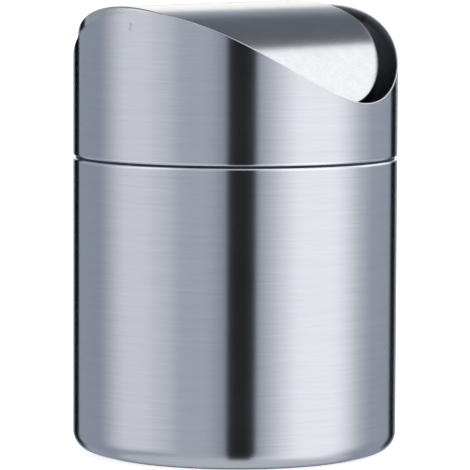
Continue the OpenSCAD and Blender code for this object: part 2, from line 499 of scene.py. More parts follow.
@dataclass(frozen=True)
class PlatedSteel:
    """Small steel parts with a plated or turned surface.

    Attributes:
        name: The material's name.
        colour: The metal's colour.
        stain: The colour of its duller patches.
        roughness: The spread of its reflections.
        gloss_shift: How far clean patches are smoother and stained ones rougher than that.
        mottle: The size of its patches.
        contrast: The pattern's values at which the metal is stained and clean.
        lathe_lines: The spacing of turning marks along x, or 0 for none.
        lathe_drift: The frequency with which a turning mark changes across x, per metre.
        lathe_share: The share that turning marks have in the pattern, beside the patches.
        relief: The share of the pattern's relief that shows.
        relief_depth: The relief's depth.
    """

    name: str
    colour: Colour
    stain: Colour
    roughness: float = 0.35
    gloss_shift: float = 0.06
    mottle: float = 1.2 * MM
    contrast: tuple[float, float] = (0.35, 0.65)
    lathe_lines: float = 0.0
    lathe_drift: float = 40.0
    lathe_share: float = 0.7
    relief: float = 0.15
    relief_depth: float = 0.02 * MM

    def material(self) -> bpy.types.Material:
        """Builds the material.

        Returns:
            The finished material.
        """
        material, tree = new_material(self.name)
        patches = tree.noise(tree.object_point(), scale=1 / self.mottle, detail=4.0, roughness=0.6)
        height = patches
        if self.lathe_lines:
            crossing = tree.object_point((1 / self.lathe_lines, self.lathe_drift, self.lathe_drift))
            height = tree.weighed(tree.noise(crossing, detail=1.0), patches, self.lathe_share)
        colour = tree.blend(tree.spread(height, *self.contrast, 0.0, 1.0), self.stain, self.colour)
        tree.surface(Base_Color=colour, Metallic=1.0,
                     Roughness=tree.varied(patches, self.roughness, -self.gloss_shift),
                     Normal=tree.relief(height, self.relief, self.relief_depth))
        return material


@dataclass(frozen=True)
class PaintedShadeInnerFace:
    """The inner face of a wall: bare steel along its arched cut edge, and painted shade from a little below
    it.

    Attributes:
        name: The material's name.
        bare: The colour along the edge.
        dark: The painted shade's colour, from the fade's end on.
        arch: The radius of the arched edge, seen along x.
        crown: The height of the arch's top.
        fade: The depths below the edge at which the bare steel ends and the painted shade begins.
        roughness: The spread of its reflections.
        gloss_shift: How far the roughness differs from patch to patch, either way.
        mottle: The size of its patches.
    """

    name: str
    bare: Colour
    dark: Colour
    arch: float
    crown: float
    fade: tuple[float, float] = (0.4 * MM, 3.4 * MM)
    roughness: float = 0.30
    gloss_shift: float = 0.04
    mottle: float = 8 * MM

    def material(self) -> bpy.types.Material:
        """Builds the material.

        Returns:
            The finished material.
        """
        material, tree = new_material(self.name)
        patches = tree.noise(tree.object_point(), scale=1 / self.mottle, detail=1.0)
        # painted shade: the colour darkens with the depth below the arched edge
        colour = tree.blend(tree.spread(self.depth(tree), *self.fade, 0.0, 1.0), self.bare, self.dark)
        tree.surface(Base_Color=colour, Metallic=1.0,
                     Roughness=tree.varied(patches, self.roughness, self.gloss_shift))
        return material

    def depth(self, tree: ShaderTree) -> bpy.types.NodeSocket:
        """Gives how far the shaded point lies below the arched edge.

        Args:
            tree: The material's nodes.

        Returns:
            The depth's socket.
        """
        axes = tree.object_axes()
        aside = tree.math("MULTIPLY", axes["Y"], axes["Y"])
        rise = tree.math("SQRT", tree.math("SUBTRACT", self.arch ** 2, aside))
        edge = tree.math("ADD", rise, self.crown - self.arch)
        return tree.math("SUBTRACT", edge, axes["Z"])


@dataclass(frozen=True)
class MouldedPlastic:
    """Plastic or rubber with the fine texture of its mould.

    Attributes:
        name: The material's name.
        colour: Its colour.
        sheen_shift: The share by which its tone varies.
        flow: The frequency of the marks that its flow into the mould left, per metre.
        roughness: The spread of its reflections.
        gloss_shift: How far the roughness differs from mark to mark, either way.
        texture: The size of the mould's texture.
        relief: The share of the texture's relief that shows.
        relief_depth: The texture's depth.
        milky: The share of light that passes under the surface.
        scatter: How far that light spreads there.
    """

    name: str
    colour: Colour
    sheen_shift: float = 0.12
    flow: float = 90.0
    roughness: float = 0.5
    gloss_shift: float = 0.05
    texture: float = 0.25 * MM
    relief: float = 0.3
    relief_depth: float = 0.03 * MM
    milky: float = 0.0
    scatter: float = 0.6 * MM

    def material(self) -> bpy.types.Material:
        """Builds the material.

        Returns:
            The finished material.
        """
        material, tree = new_material(self.name)
        grain = tree.noise(tree.object_point(), scale=1 / self.texture)
        marks = tree.noise(tree.object_point(), scale=self.flow, detail=3.0)
        tone = tree.spread(marks, *NOISE_RANGE, 0.0, 1.0)
        shader = tree.surface(Base_Color=tree.blend(tone, *tones(self.colour, self.sheen_shift)),
                              Roughness=tree.varied(marks, self.roughness, self.gloss_shift),
                              Normal=tree.relief(grain, self.relief, self.relief_depth),
                              Subsurface_Weight=self.milky, Subsurface_Scale=self.scatter)
        shader.inputs["Subsurface Radius"].default_value = (1.0, 1.0, 1.0)
        return material


class Finishes:
    """The materials of the whole bin, each made once."""

    def __init__(self) -> None:
        """Builds every material."""
        steel = (0.725, 0.70, 0.70)
        self.body = TurnedBrushing("brushed_body", steel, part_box("body_shell")[1].z).material()
        self.head = TurnedBrushing("brushed_head", steel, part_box("head_shell")[0].z).material()
        # the head's inner face gets painted shade: dark from a little below the arched edge
        self.lining = PaintedShadeInnerFace("head_lining", steel, (0.22, 0.22, 0.24), BinHead.arch,
                                     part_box("head_shell")[1].z).material()
        # polished cut edge; its near-white colour is partly a painted highlight
        self.cut_edge = PlatedSteel("cut_edge", (0.90, 0.89, 0.89), (0.84, 0.83, 0.83),
                                    roughness=0.3).material()
        self.flap = SatinSheet("flap_steel", (0.80, 0.78, 0.75)).material()
        self.base = SatinSheet("base_steel", (0.64, 0.65, 0.67), roughness=0.34, slant=0.0,
                               stretch=8.0).material()
        self.weld = PlatedSteel("weld_steel", (0.44, 0.44, 0.46), (0.30, 0.30, 0.32), roughness=0.5,
                                mottle=0.3 * MM).material()
        self.pin_mark = PlatedSteel("pin_mark_steel", (0.65, 0.63, 0.64), (0.59, 0.57, 0.59),
                                    mottle=0.3 * MM).material()
        self.hinge = PlatedSteel("hinge_steel", (0.62, 0.64, 0.66), (0.50, 0.52, 0.54)).material()
        self.pin = PlatedSteel("pin_steel", (0.74, 0.75, 0.77), (0.62, 0.63, 0.65), roughness=0.25,
                               lathe_lines=0.15 * MM).material()
        self.clip = PlatedSteel("clip_steel", (0.42, 0.43, 0.45), (0.30, 0.30, 0.32),
                                roughness=0.42).material()
        self.collar = MouldedPlastic("collar_plastic", (0.018, 0.018, 0.021), roughness=0.48).material()
        self.nylon = MouldedPlastic("bush_nylon", (0.80, 0.80, 0.75), sheen_shift=0.04, roughness=0.42,
                                    milky=0.25).material()
        self.rubber = MouldedPlastic("pad_rubber", (0.028, 0.028, 0.030), roughness=0.75,
                                     texture=0.4 * MM).material()


@dataclass(frozen=True)
class SheetSection:
    """A bent sheet in section: corner points of its middle line, with a bend at each inner corner.

    Attributes:
        corners: Points (distance from the axis, height), in order along the sheet.
        bends: The middle line's bend radius at each inner corner.
        thickness: The sheet's thickness.
        bend_steps: The number of steps in a bend.
        lead: The distance from a bend to the point that keeps the flat beside it flat in its shading.
    """

    corners: Outline
    bends: list[float]
    thickness: float
    bend_steps: int = 12
    lead: float = 0.15 * MM

    def middle(self) -> list[tuple[Vector, Vector]]:
        """Follows the middle line.

        Returns:
            Each point with the unit direction of travel there.
        """
        points = [Vector(corner) for corner in self.corners]
        ways = [(b - a).normalized() for a, b in zip(points, points[1:])]
        turns = [before.angle_signed(after) for before, after in zip(ways, ways[1:])]
        reaches = [0.0, *(r * math.tan(abs(t) / 2) for r, t in zip(self.bends, turns)), 0.0]
        flats = [(b - a).length - reaches[i] - reaches[i + 1]
                 for i, (a, b) in enumerate(zip(points, points[1:]))]
        line = [(points[0], ways[0])]
        for i, (turn, radius) in enumerate(zip(turns, self.bends)):
            before, after, reach = ways[i], ways[i + 1], reaches[i + 1]
            start = points[i + 1] - before * reach
            centre = start + math.copysign(radius, turn) * Vector((before.y, -before.x))
            if flats[i] > 2 * self.lead:
                line.append((start - before * self.lead, before))
            for step in range(self.bend_steps + 1):
                turned = Matrix.Rotation(-turn * step / self.bend_steps, 2)
                line.append((centre + turned @ (start - centre), turned @ before))
            if flats[i + 1] > 2 * self.lead:
                line.append((points[i + 1] + after * (reach + self.lead), after))
        line.append((points[-1], ways[-1]))
        return line

    def outline(self) -> Outline:
        """Gives the closed outline of the sheet.

        Returns:
            Points (distance from the axis, height), out along one face and back along the other.
        """
        half = self.thickness / 2
        line = self.middle()
        left = [(p.x - w.y * half, p.y + w.x * half) for p, w in line]
        right = [(p.x + w.y * half, p.y - w.x * half) for p, w in line]
        return left + right[::-1]


def new_object(name: str, data: bpy.types.ID) -> bpy.types.Object:
    """Links a new object at the origin.

    Args:
        name: The object's name.
        data: Its mesh, camera or light.

    Returns:
        The object.
    """
    made = bpy.data.objects.new(name, data)
    bpy.context.scene.collection.objects.link(made)
    return made


def close_up(mesh: bpy.types.Mesh, crease_deg: float = 35.0, double: float = 0.0005 * MM) -> None:
    """Merges doubles, points the faces outwards and shades smoothly between creases.

    Args:
        mesh: The mesh to finish.
        crease_deg: The angle from which an edge stays sharp.
        double: The distance under which two points are one.
    """
    work = bmesh.new()
    work.from_mesh(mesh)
    bmesh.ops.remove_doubles(work, verts=work.verts, dist=double)
    bmesh.ops.recalc_face_normals(work, faces=work.faces)
    work.to_mesh(mesh)
    work.free()
    mesh.shade_smooth()
    mesh.set_sharp_from_angle(angle=math.radians(crease_deg))


def stood_up(section: np.ndarray, angle: float, middle: Vector) -> np.ndarray:
    """Stands a section in the upright plane at an angle round an upright axis.

    Args:
        section: Points (distance from the axis, height).
        angle: The plane's angle.
        middle: The point on the axis from which heights are counted.

    Returns:
        The points in space.
    """
    out, up = section[:, 0], section[:, 1]
    return np.stack([out * math.cos(angle), out * math.sin(angle), up], axis=1) + np.array(middle)


def ring_mesh(name: str, rings: list[np.ndarray]) -> bpy.types.Mesh:
    """Skins closed sections that stand all round an axis.

    Args:
        name: The mesh's name.
        rings: The points of each section, in order.

    Returns:
        The closed mesh.
    """
    turns, count = len(rings), len(rings[0])
    index = np.arange(turns * count).reshape(turns, count)
    ahead = np.roll(index, -1, axis=0)
    quads = np.stack([index, ahead, np.roll(ahead, -1, axis=1), np.roll(index, -1, axis=1)], axis=-1)
    mesh = bpy.data.meshes.new(name)
    mesh.from_pydata(np.concatenate(rings).tolist(), [], quads.reshape(-1, 4).tolist())
    close_up(mesh)
    return mesh


def bake_modifiers(piece: bpy.types.Object) -> None:
    """Turns what the modifiers make into the object's plain mesh and removes them.

    Args:
        piece: The object with its live modifiers.
    """
    graph = bpy.context.evaluated_depsgraph_get()
    graph.update()
    baked = bpy.data.meshes.new_from_object(piece.evaluated_get(graph), depsgraph=graph)
    baked.name = piece.name
    piece.modifiers.clear()
    piece.data = baked


class NodeRecipe:
    """A Geometry Nodes tree with named inputs, which can be put on any number of objects."""

    def __init__(self, name: str) -> None:
        """Makes the empty tree with its geometry sockets and its material input.

        Args:
            name: The tree's name.
        """
        self.tree = bpy.data.node_groups.new(name, "GeometryNodeTree")
        self.tree.interface.new_socket("Geometry", in_out="INPUT", socket_type="NodeSocketGeometry")
        self.tree.interface.new_socket("Geometry", in_out="OUTPUT", socket_type="NodeSocketGeometry")
        self.keys: dict[str, str] = {}
        self.add_input("Material", "NodeSocketMaterial")
        self.entry = self.tree.nodes.new("NodeGroupInput")

    def add_input(self, name: str, kind: str) -> None:
        """Adds an input and remembers its identifier."""
        socket = self.tree.interface.new_socket(name, in_out="INPUT", socket_type=kind)
        self.keys[name] = socket.identifier

    def node(self, kind: str, **inputs: object) -> bpy.types.Node:
        """Adds a node and fills its inputs.

        Args:
            kind: The node type's identifier.
            inputs: Socket names, with underscores for spaces, and sockets or values.

        Returns:
            The new node.
        """
        made = self.tree.nodes.new(kind)
        for name, value in inputs.items():
            socket = made.inputs[name.replace("_", " ")]
            if isinstance(value, bpy.types.NodeSocket):
                self.tree.links.new(value, socket)
            else:
                socket.default_value = value
        return made

    def end(self, geometry: bpy.types.NodeSocket) -> None:
        """Closes the tree with Realize Instances and Set Material.

        Args:
            geometry: The geometry that the tree has made.
        """
        real = self.node("GeometryNodeRealizeInstances", Geometry=geometry)
        dressed = self.node("GeometryNodeSetMaterial", Geometry=real.outputs[0],
                            Material=self.entry.outputs["Material"])
        leave = self.tree.nodes.new("NodeGroupOutput")
        self.tree.links.new(dressed.outputs[0], leave.inputs[0])

    def put_on(self, piece: bpy.types.Object, **values: object) -> None:
        """Adds the tree to an object, sets its inputs and bakes the result.

        Args:
            piece: The object that holds the starting geometry.
            values: The inputs' names, with underscores for spaces, and their values.
        """
        modifier = piece.modifiers.new(self.tree.name, "NODES")
        modifier.node_group = self.tree
        for name, value in values.items():
            modifier[self.keys[name.replace("_", " ")]] = value
        bake_modifiers(piece)


class Lathe:
    """Turns closed outlines round the z axis with one Geometry Nodes tree."""

    SWEEP_RADIUS = 30 * MM

    def __init__(self) -> None:
        """Builds the tree: the outline swept along a circle round the axis."""
        self.recipe = NodeRecipe("turned_about_axis")
        self.recipe.add_input("Sweep radius", "NodeSocketFloat")
        self.recipe.add_input("Segments", "NodeSocketInt")
        entry = self.recipe.entry
        outline = self.recipe.node("GeometryNodeMeshToCurve", Mesh=entry.outputs["Geometry"])
        circle = self.recipe.node("GeometryNodeCurvePrimitiveCircle", Radius=entry.outputs["Sweep radius"],
                                  Resolution=entry.outputs["Segments"])
        swept = self.recipe.node("GeometryNodeCurveToMesh", Curve=circle.outputs[0],
                                 Profile_Curve=outline.outputs[0])
        self.recipe.end(swept.outputs[0])

    def turn(self, name: str, outline: Outline, material: bpy.types.Material,
             segments: int = 320) -> bpy.types.Object:
        """Makes one turned piece.

        Args:
            name: The piece's name.
            outline: Its closed outline, as (distance from the axis, height).
            material: Its material.
            segments: The number of sections round the axis.

        Returns:
            The piece.
        """
        mesh = bpy.data.meshes.new(name)
        points = [(r - self.SWEEP_RADIUS, -z, 0.0) for r, z in outline]
        last = len(points) - 1
        mesh.from_pydata(points, [(i, i + 1) for i in range(last)] + [(last, 0)], [])
        piece = new_object(name, mesh)
        self.recipe.put_on(piece, Sweep_radius=self.SWEEP_RADIUS, Segments=segments, Material=material)
        close_up(piece.data)
        return piece


class WeldSpots:
    """Places small round weld marks on points with one Geometry Nodes tree."""

    MERIDIANS = 20

    def __init__(self) -> None:
        """Builds the tree: a low dome on each point, facing away from the axis or upwards."""
        self.recipe = NodeRecipe("weld_spots")
        self.recipe.add_input("Spot radius", "NodeSocketFloat")
        self.recipe.add_input("Flatness", "NodeSocketVector")
        self.recipe.add_input("Away from axis", "NodeSocketVector")
        self.recipe.add_input("Upwards", "NodeSocketVector")
        entry = self.recipe.entry
        ball = self.recipe.node("GeometryNodeMeshUVSphere", Radius=entry.outputs["Spot radius"],
                                Segments=self.MERIDIANS, Rings=self.MERIDIANS // 2)
        dome = self.recipe.node("GeometryNodeTransform", Geometry=ball.outputs[0],
                                Scale=entry.outputs["Flatness"])
        away = self.vector_node("MULTIPLY", self.recipe.node("GeometryNodeInputPosition").outputs[0],
                                entry.outputs["Away from axis"])
        facing = self.vector_node("ADD", away, entry.outputs["Upwards"])
        turned = self.recipe.node("FunctionNodeAlignRotationToVector", Vector=facing)
        turned.axis = "Z"
        spots = self.recipe.node("GeometryNodeInstanceOnPoints", Points=entry.outputs["Geometry"],
                                 Instance=dome.outputs[0], Rotation=turned.outputs[0])
        self.recipe.end(spots.outputs[0])

    def vector_node(self, operation: str, first: bpy.types.NodeSocket,
                    second: bpy.types.NodeSocket) -> bpy.types.NodeSocket:
        """Adds a Vector Math node.

        Args:
            operation: The operation's name.
            first: The first vector.
            second: The second vector.

        Returns:
            The result's socket.
        """
        made = self.recipe.tree.nodes.new("ShaderNodeVectorMath")
        made.operation = operation
        self.recipe.tree.links.new(first, made.inputs[0])
        self.recipe.tree.links.new(second, made.inputs[1])
        return made.outputs[0]

    def place(self, name: str, spots: list[Vector], radius: float, height: float, facing: Facing,
              material: bpy.types.Material) -> bpy.types.Object:
        """Makes a group of weld marks.

        Args:
            name: The piece's name.
            spots: Each mark's centre, on the sheet's surface or just under it.
            radius: A mark's radius.
            height: How far it stands proud.
            facing: The way that the marks face.
            material: Its material.

        Returns:
            The piece.
        """
        mesh = bpy.data.meshes.new(name)
        mesh.from_pydata(spots, [], [])
        piece = new_object(name, mesh)
        away, upwards = facing.value
        self.recipe.put_on(piece, Spot_radius=radius, Flatness=(1.0, 1.0, height / radius),
                           Away_from_axis=away, Upwards=upwards, Material=material)
        close_up(piece.data)
        return piece


@dataclass
class BinBody:
    """The round body with its rolled mouth, its base plate and its anti-slip ring.

    Attributes:
        lathe: What turns the pieces.
        welds: What places weld marks.
        finishes: The materials.
        sheet: The thickness of the wall's sheet.
        corner: The outer radius of the round bottom corner.
        bead: The outer radius of the rolled mouth.
        bead_leg: The length of the leg behind the rolled mouth.
        flange: The width of the flange under the base.
        plate_border: The width of the base plate's flat border.
        plate_slope: The width of the slope inside the border.
        plate_bend: The bend radius at both ends of the slope.
        pad_width: The width of the anti-slip ring.
        pad_grooves: The number of grooves under the ring.
        groove_depth: Their depth.
        groove_slope: The share of a groove's width that each of its sloping sides takes.
        base_welds: The number of spot welds that hold the base plate.
        weld_radius: The radius of a spot weld.
        weld_height: Its height.
        hidden_segments: The number of sections round the pieces under the bin.
    """

    lathe: Lathe
    welds: WeldSpots
    finishes: Finishes
    sheet: float = 0.6 * MM
    corner: float = 7 * MM
    bead: float = 0.9 * MM
    bead_leg: float = 3 * MM
    flange: float = 8 * MM
    plate_border: float = 11 * MM
    plate_slope: float = 3 * MM
    plate_bend: float = 1.6 * MM
    pad_width: float = 6 * MM
    pad_grooves: int = 5
    groove_depth: float = 0.18 * MM
    groove_slope: float = 0.25
    base_welds: int = 10
    weld_radius: float = 1.5 * MM
    weld_height: float = 0.07 * MM
    hidden_segments: int = 160

    def wall(self) -> None:
        """Makes the drawn shell from its rolled mouth to its flange."""
        low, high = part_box("body_shell")
        half = self.sheet / 2
        outer = high.x - half
        inner = high.x - 2 * self.bead + half
        bend = self.bead - half
        section = SheetSection(
            corners=[(inner, high.z - self.bead - self.bead_leg), (inner, high.z - half),
                     (outer, high.z - half), (outer, low.z + half),
                     (high.x - self.corner - self.flange, low.z + half)],
            bends=[bend, bend, self.corner - half],
            thickness=self.sheet)
        piece = self.lathe.turn("body_wall", section.outline(), self.finishes.body)
        dress(piece, Body.BIN, "brushed_body", "body_shell")

    def base(self) -> None:
        """Makes the pressed base plate with its raised middle."""
        low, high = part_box("base_plate")
        half = self.sheet / 2
        foot = self.plate_foot()
        section = SheetSection(
            corners=[(0.0, high.z - half), (foot - self.plate_slope, high.z - half), (foot, low.z + half),
                     (high.x, low.z + half)],
            bends=[self.plate_bend, self.plate_bend], thickness=self.sheet)
        piece = self.lathe.turn("base_disc", section.outline(), self.finishes.base, self.hidden_segments)
        dress(piece, Body.BIN, "base_steel", "base_plate")

    def pad(self) -> None:
        """Makes the anti-slip ring with grooves round its underside."""
        low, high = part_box("base_pad")
        inner = high.x - self.pad_width
        pitch = self.pad_width / (2 * self.pad_grooves + 1)
        roof = low.z + self.groove_depth
        under: Outline = []
        for groove in range(self.pad_grooves):
            start = inner + pitch * (2 * groove + 1)
            under += [(start, low.z), (start + self.groove_slope * pitch, roof),
                      (start + (1 - self.groove_slope) * pitch, roof), (start + pitch, low.z)]
        outline = [(inner, high.z), (inner, low.z), *under, (high.x, low.z), (high.x, high.z)]
        piece = self.lathe.turn("grip_ring", outline, self.finishes.rubber, self.hidden_segments)
        dress(piece, Body.BIN, "pad_rubber", "base_pad")

    def plate_foot(self) -> float:
        """Gives the radius at which the base plate's slope meets its border."""
        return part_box("body_shell")[1].x - self.corner - self.plate_border

    def spot_welds(self) -> None:
        """Makes the ring of spot welds that hold the base plate on the flange."""
        low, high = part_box("base_plate")
        radius = (self.plate_foot() + high.x) / 2
        turns = [math.tau * (weld + 0.5) / self.base_welds for weld in range(self.base_welds)]
        spots = [Vector((radius * math.cos(turn), radius * math.sin(turn), low.z + self.sheet))
                 for turn in turns]
        piece = self.welds.place("base_welds", spots, self.weld_radius, self.weld_height, Facing.UP,
                                 self.finishes.weld)
        dress(piece, Body.BIN, "base_steel")

    def build(self) -> None:
        """Makes all the body's pieces."""
        self.wall()
        self.base()
        self.spot_welds()
        self.pad()


@dataclass
class BinHead:
    """The lift-off head, whose sides rise as arches.

    Attributes:
        welds: What places weld marks.
        finishes: The materials.
        pivot: The middle of the hinge line.
        sheet: The thickness of the wall's sheet.
        bead: The outer radius of the rolled lower edge.
        bead_leg: The length of the leg behind it.
        rolled_zone: The height of the zone that the rolled edge and its leg take up.
        arch: The radius of the arches, seen from the side.
        edge: The radius to which the cut edge is polished.
        edge_points: The number of points in each of its two roundings.
        edge_support: How deep under it lie the points that keep the shading of the faces true.
        slack: How far from the outer or inner radius a face still counts as lying on it.
        segments: The number of sections round the axis.
        pin_marks: The weld marks over each pin, as (distance behind the pivot, height above it).
        mark_radius: The radius of a mark's dome.
        mark_height: The dome's height.
        mark_sink: How deep the dome's centre lies under the face.
    """

    welds: WeldSpots
    finishes: Finishes
    pivot: Vector
    sheet: float = BinBody.sheet
    bead: float = BinBody.bead
    bead_leg: float = BinBody.bead_leg
    rolled_zone: float = 3.6 * MM
    arch: float = 70.5 * MM
    edge: float = 0.28 * MM
    edge_points: int = 6
    edge_support: float = 0.56 * MM
    slack: float = 0.028 * MM
    segments: int = 512
    pin_marks: Outline = field(default_factory=lambda: [(0.9 * MM, -0.5 * MM), (0.5 * MM, 1.1 * MM)])
    mark_radius: float = 0.9 * MM
    mark_height: float = 0.08 * MM
    mark_sink: float = 0.05 * MM

    def arch_height(self, radius: float, angle: float) -> float:
        """Gives the height of the cut edge, which is trimmed square to the sheet.

        Args:
            radius: The distance from the axis of the sheet's middle.
            angle: The angle round the axis.

        Returns:
            The height.
        """
        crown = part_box("head_shell")[1].z
        aside = radius * math.sin(angle)
        return crown - self.arch + math.sqrt(self.arch ** 2 - aside ** 2)

    def rolled_edge(self) -> Outline:
        """Gives the section of the rolled lower edge.

        Returns:
            Points (distance from the axis, height), from the outer face round to the inner one.
        """
        low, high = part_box("head_shell")
        half = self.sheet / 2
        leg = high.x - 2 * self.bead + half
        section = SheetSection(
            corners=[(high.x - half, low.z + self.rolled_zone), (high.x - half, low.z + half),
                     (leg, low.z + half), (leg, low.z + self.bead + self.bead_leg)],
            bends=[self.bead - half] * 2, thickness=self.sheet)
        return section.outline()

    def cut_edge(self, outer: float, inner: float) -> tuple[np.ndarray, np.ndarray]:
        """Gives the section of the rounded cut edge, from the inner face over to the outer one.

        Args:
            outer: The outer face's radius.
            inner: The inner face's radius.

        Returns:
            The points' distances from the axis, and their depths under the edge's top.
        """
        turns = np.linspace(math.pi / 2, 0, self.edge_points)
        radii = np.concatenate([[inner], inner + self.edge * (1 - np.sin(turns)),
                                outer - self.edge * (1 - np.cos(turns)), [outer]])
        depths = np.concatenate([[self.edge_support], self.edge * (1 - np.cos(turns)),
                                 self.edge * (1 - np.sin(turns)), [self.edge_support]])
        return radii, depths

    def wall(self) -> None:
        """Makes the head's shell from its rolled lower edge to the arches."""
        low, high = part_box("head_shell")
        outer, inner = high.x, high.x - self.sheet
        lower = self.rolled_edge()
        radii, depths = self.cut_edge(outer, inner)
        rings = []
        for angle in np.linspace(0, math.tau, self.segments, endpoint=False):
            top = self.arch_height(outer - self.sheet / 2, float(angle))
            part = np.concatenate([lower, np.stack([radii, top - depths], axis=1)])
            rings.append(stood_up(part, float(angle), Vector((0, 0, 0))))
        mesh = ring_mesh("head_wall", rings)
        self.finish_faces(mesh, low.z + self.rolled_zone, inner, outer)
        dress(new_object("head_wall", mesh), Body.HEAD, "brushed_head", "head_shell")

    def finish_faces(self, mesh: bpy.types.Mesh, start: float, inner: float, outer: float) -> None:
        """Gives the wall its brushed outer face, its inner face in painted shade, and its polished cut edge,
        whose bright colour is partly a painted highlight.

        Args:
            mesh: The wall's mesh.
            start: The height from which the inner face is dark with painted shade.
            inner: The inner face's radius.
            outer: The outer face's radius.
        """
        coats = {WallZone.BRUSHED: self.finishes.head, WallZone.LINING: self.finishes.lining,
                 WallZone.CUT_EDGE: self.finishes.cut_edge}
        for zone in WallZone:
            mesh.materials.append(coats[zone])
        for face in mesh.polygons:
            radius = face.center.xy.length
            if face.center.z > start and radius < outer - self.slack:
                zone = WallZone.LINING if radius < inner + self.slack else WallZone.CUT_EDGE
                face.material_index = zone.value

    def pin_welds(self) -> None:
        """Makes the faint marks that the welding of the pins left on the outer face."""
        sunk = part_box("head_shell")[1].x - self.mark_sink
        spots = []
        for side in Side:
            for behind, above in self.pin_marks:
                y = self.pivot.y + behind
                x = side.value * math.sqrt(sunk ** 2 - y ** 2)
                spots.append(Vector((x, y, self.pivot.z + above)))
        piece = self.welds.place("pin_welds", spots, self.mark_radius, self.mark_height, Facing.OUTWARD,
                                 self.finishes.pin_mark)
        dress(piece, Body.HEAD, "hinge_steel")

    def build(self) -> None:
        """Makes the head's own pieces."""
        self.wall()
        self.pin_welds()


@dataclass
class PushFlap:
    """The curved flap: a sheet with a round rim that is bent down all round.

    Attributes:
        finishes: The materials.
        pivot: The middle of the hinge line.
        arch: The radius of the sheet's curve, seen from the side.
        lead: How far its middle lies in front of the pivots.
        crown: Its height above the pivots when level.
        sheet: Its thickness.
        bend: The outer radius of the bend between the sheet and its rim.
        rim_depth: The depth of the turned-down rim.
        tilt_deg: The angle at which it hangs.
        support: The distance from the bend to the points that keep the shading beside it true.
        segments: The number of sections round it.
        sheet_points: The number of points along the sheet in a section.
        crowding: The power that crowds them towards the rim, where it is under 1.
        bend_points: The number of points in the bend.
        rounds: How often the bend's place is worked out anew from the sheet's slope there.
    """

    finishes: Finishes
    pivot: Vector
    arch: float = 71.4 * MM
    lead: float = 0.13 * MM
    crown: float = 6.7 * MM
    sheet: float = BinBody.sheet
    bend: float = 1.1 * MM
    rim_depth: float = 4 * MM
    tilt_deg: float = 8.0
    support: float = 0.15 * MM
    segments: int = 360
    sheet_points: int = 26
    crowding: float = 0.8
    bend_points: int = 14
    rounds: int = 12

    def section(self, angle: float, rim: float) -> np.ndarray:
        """Gives the flap's closed section in one upright plane through its middle.

        Args:
            angle: The plane's angle round the middle.
            rim: The rim's radius.

        Returns:
            Points (distance from the middle, height above the arch's centre line).
        """
        sine = math.sin(angle)

        def height(reach: np.ndarray) -> np.ndarray:
            """Gives the top face's height at a distance from the middle."""
            return np.sqrt(self.arch ** 2 - (reach * sine) ** 2)

        def lean(reach: np.ndarray) -> np.ndarray:
            """Gives the angle between the top face's normal and the vertical."""
            return np.arctan(reach * sine ** 2 / height(reach))

        touch = rim - self.bend
        for _ in range(self.rounds):
            touch = rim - self.bend + self.bend * math.sin(lean(np.array(touch)))
        shares = np.linspace(0, 1, self.sheet_points) ** self.crowding
        reach = np.append(shares * (touch - self.support), touch)
        start = float(lean(np.array(touch)))
        centre = np.array([touch - self.bend * math.sin(start),
                           float(height(np.array(touch))) - self.bend * math.cos(start)])
        turn = np.linspace(start, math.pi / 2, self.bend_points)[1:]
        low = math.sqrt(self.arch ** 2 - (rim * sine) ** 2) - self.rim_depth
        top = np.stack([reach, height(reach)], axis=1)
        top_out = np.stack([np.sin(lean(reach)), np.cos(lean(reach))], axis=1)
        bent_out = np.stack([np.sin(turn), np.cos(turn)], axis=1)
        bent = centre + self.bend * bent_out
        outside = np.concatenate([top, bent, [[rim, centre[1] - self.support], [rim, low]]])
        facing = np.concatenate([top_out, bent_out, [[1.0, 0.0], [1.0, 0.0]]])
        return np.concatenate([outside, (outside - self.sheet * facing)[::-1]])

    def skin(self) -> None:
        """Makes the sheet, level, and then turns it about the pivots to the angle at which it hangs."""
        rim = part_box("flap_panel")[1].x
        middle = self.pivot - Vector((0, self.lead, self.arch - self.crown))
        angles = np.linspace(0, math.tau, self.segments, endpoint=False)
        rings = [stood_up(self.section(float(angle), rim), float(angle), middle) for angle in angles]
        mesh = ring_mesh("flap_skin", rings)
        tilt = Matrix.Rotation(math.radians(self.tilt_deg), 4, "X")
        mesh.transform(Matrix.Translation(self.pivot) @ tilt @ Matrix.Translation(-self.pivot))
        mesh.materials.append(self.finishes.flap)
        dress(new_object("flap_skin", mesh), Body.FLAP, "flap_steel", "flap_panel")

    def build(self) -> None:
        """Makes the flap's own piece."""
        self.skin()


@dataclass
class HingeParts:
    """The small parts of the two pivots and the collar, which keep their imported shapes.

    Attributes:
        finishes: The materials.
        nodes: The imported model's objects by name.
    """

    finishes: Finishes
    nodes: dict[str, bpy.types.Object]

    def clothe(self, name: str, material: bpy.types.Material) -> None:
        """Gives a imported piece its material.

        Args:
            name: The node's name.
            material: The material.
        """
        piece = self.nodes[name]
        piece.data.materials.clear()
        piece.data.materials.append(material)
        LOG.info("clothed %s in %s", name, material.name)

    def build(self) -> None:
        """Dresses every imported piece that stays."""
        self.clothe("head_collar", self.finishes.collar)
        stems = {"hinge_plate": self.finishes.hinge, "flap_ear": self.finishes.hinge,
                 "pivot_pin": self.finishes.pin, "pin_clip": self.finishes.clip,
                 "pivot_spacer": self.finishes.nylon, "pivot_bush": self.finishes.nylon}
        for stem, material in stems.items():
            for side in Side:
                self.clothe(f"{stem}_{side.name.lower()}", material)


@dataclass(frozen=True)
class StudioCard:
    """A soft light or a dark flag of the studio, as a patch of what surrounds the bin.

    Attributes:
        name: What it is.
        bearing: Its middle in degrees, 0 at the camera and positive towards the picture's right.
        half_width: Half its width in degrees.
        soft: The width of its soft sides in degrees.
        low: Its lower end in degrees above the horizon.
        high: Its upper end.
        level: The light that it adds, or for a flag the share that it takes away.
        soft_ends: The width of its soft lower and upper ends in degrees.
        is_flag: Whether it takes light away.
    """

    name: str
    bearing: float
    half_width: float
    soft: float
    low: float
    high: float
    level: float
    soft_ends: float = 6.0
    is_flag: bool = False


